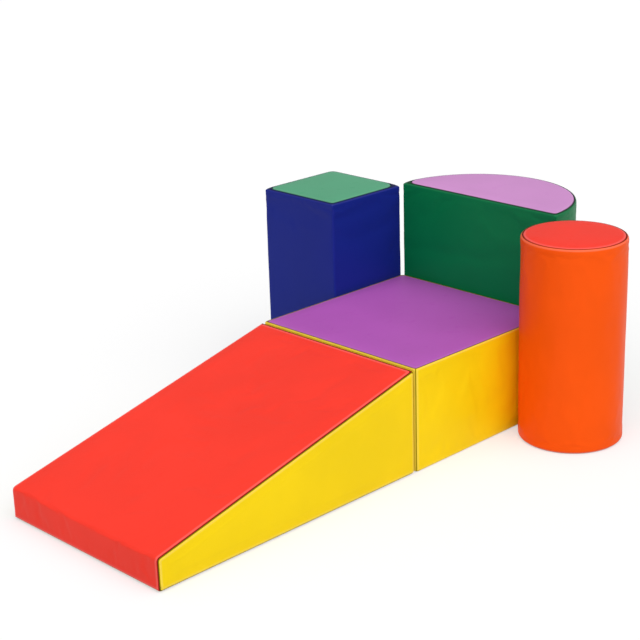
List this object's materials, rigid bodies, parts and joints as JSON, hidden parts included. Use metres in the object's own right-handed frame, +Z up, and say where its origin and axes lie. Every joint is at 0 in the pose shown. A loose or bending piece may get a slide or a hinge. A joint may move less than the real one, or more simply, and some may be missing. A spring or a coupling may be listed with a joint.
{
  "type": "soft play foam climber",
  "caption": "Soft play climber of foam blocks in sewn vinyl covers: a ramp up to a platform, with a square pillar, a half-round and a cylinder standing round it.",
  "frame": {"origin": "middle of the platform's underside, on the floor", "axes": "+Z up; +X along the climber's length, from the ramp's nose past the platform to the half-round; +Y towards the pillar, so the cylinder stands on the -Y side"},
  "size_m": [1.2074, 0.8043, 0.4065],
  "materials": {
    "yellow_vinyl": "satin",
    "red_vinyl": "satin",
    "purple_vinyl": "satin",
    "blue_vinyl": "satin",
    "leaf_green_vinyl": "satin",
    "deep_green_vinyl": "satin",
    "lilac_vinyl": "satin",
    "orange_vinyl": "satin",
    "foam": "matte",
    "zip_tape": "matte",
    "zip_metal": "satin",
    "hook_and_loop": "matte"
  },
  "bodies": {
    "platform": {"platform_foam_core": "foam", "platform_side_band": "yellow_vinyl", "platform_top_panel": "purple_vinyl", "platform_base_panel": "yellow_vinyl", "platform_zip_tape_inner": "zip_tape", "platform_zip_tape_outer": "zip_tape", "platform_loop_strip_ramp_left": "hook_and_loop", "platform_loop_strip_ramp_right": "hook_and_loop", "platform_loop_strip_pillar": "hook_and_loop", "platform_loop_strip_half_round_left": "hook_and_loop", "platform_loop_strip_half_round_right": "hook_and_loop"},
    "platform_slider": {"platform_zip_slider": "zip_metal"},
    "ramp": {"ramp_foam_core": "foam", "ramp_slide_panel": "red_vinyl", "ramp_side_panel_left": "yellow_vinyl", "ramp_side_panel_right": "yellow_vinyl", "ramp_back_panel": "yellow_vinyl", "ramp_base_panel": "yellow_vinyl", "ramp_zip_tape_inner": "zip_tape", "ramp_zip_tape_outer": "zip_tape", "ramp_hook_strip_left": "hook_and_loop", "ramp_hook_strip_right": "hook_and_loop"},
    "ramp_slider": {"ramp_zip_slider": "zip_metal"},
    "pillar": {"pillar_foam_core": "foam", "pillar_side_band": "blue_vinyl", "pillar_top_panel": "leaf_green_vinyl", "pillar_base_panel": "blue_vinyl", "pillar_zip_tape_inner": "zip_tape", "pillar_zip_tape_outer": "zip_tape", "pillar_hook_strip": "hook_and_loop"},
    "pillar_slider": {"pillar_zip_slider": "zip_metal"},
    "half_round": {"half_round_foam_core": "foam", "half_round_side_band": "deep_green_vinyl", "half_round_top_panel": "lilac_vinyl", "half_round_base_panel": "deep_green_vinyl", "half_round_zip_tape_inner": "zip_tape", "half_round_zip_tape_outer": "zip_tape", "half_round_hook_strip_left": "hook_and_loop", "half_round_hook_strip_right": "hook_and_loop"},
    "half_round_slider": {"half_round_zip_slider": "zip_metal"},
    "cylinder": {"cylinder_foam_core": "foam", "cylinder_side_band": "orange_vinyl", "cylinder_top_panel": "red_vinyl", "cylinder_base_panel": "orange_vinyl", "cylinder_zip_tape_inner": "zip_tape", "cylinder_zip_tape_outer": "zip_tape"},
    "cylinder_slider": {"cylinder_zip_slider": "zip_metal"}
  },
  "joints": [
    {"name": "ramp_pull_away", "type": "slide", "parent": "platform", "child": "ramp", "axis": [-1, 0, 0], "range_m": [0, 0.3]},
    {"name": "pillar_pull_away", "type": "slide", "parent": "platform", "child": "pillar", "axis": [0, 1, 0], "range_m": [0, 0.3]},
    {"name": "half_round_pull_away", "type": "slide", "parent": "platform", "child": "half_round", "axis": [1, 0, 0], "range_m": [0, 0.3]},
    {"name": "cylinder_move_away", "type": "slide", "parent": "platform", "child": "cylinder", "axis": [0, -1, 0], "range_m": [0, 0.3]},
    {"name": "platform_zip_slide", "type": "slide", "parent": "platform", "child": "platform_slider", "axis": [1, 0, 0], "range_m": [0, 0.266]},
    {"name": "ramp_zip_slide", "type": "slide", "parent": "ramp", "child": "ramp_slider", "axis": [0, 1, 0], "range_m": [0, 0.266]},
    {"name": "pillar_zip_slide", "type": "slide", "parent": "pillar", "child": "pillar_slider", "axis": [1, 0, 0], "range_m": [0, 0.106]},
    {"name": "half_round_zip_slide", "type": "slide", "parent": "half_round", "child": "half_round_slider", "axis": [0, 1, 0], "range_m": [0, 0.226]},
    {"name": "cylinder_zip_slide", "type": "slide", "parent": "cylinder", "child": "cylinder_slider", "axis": [1, 0, 0], "range_m": [0, 0.096]}
  ]
}
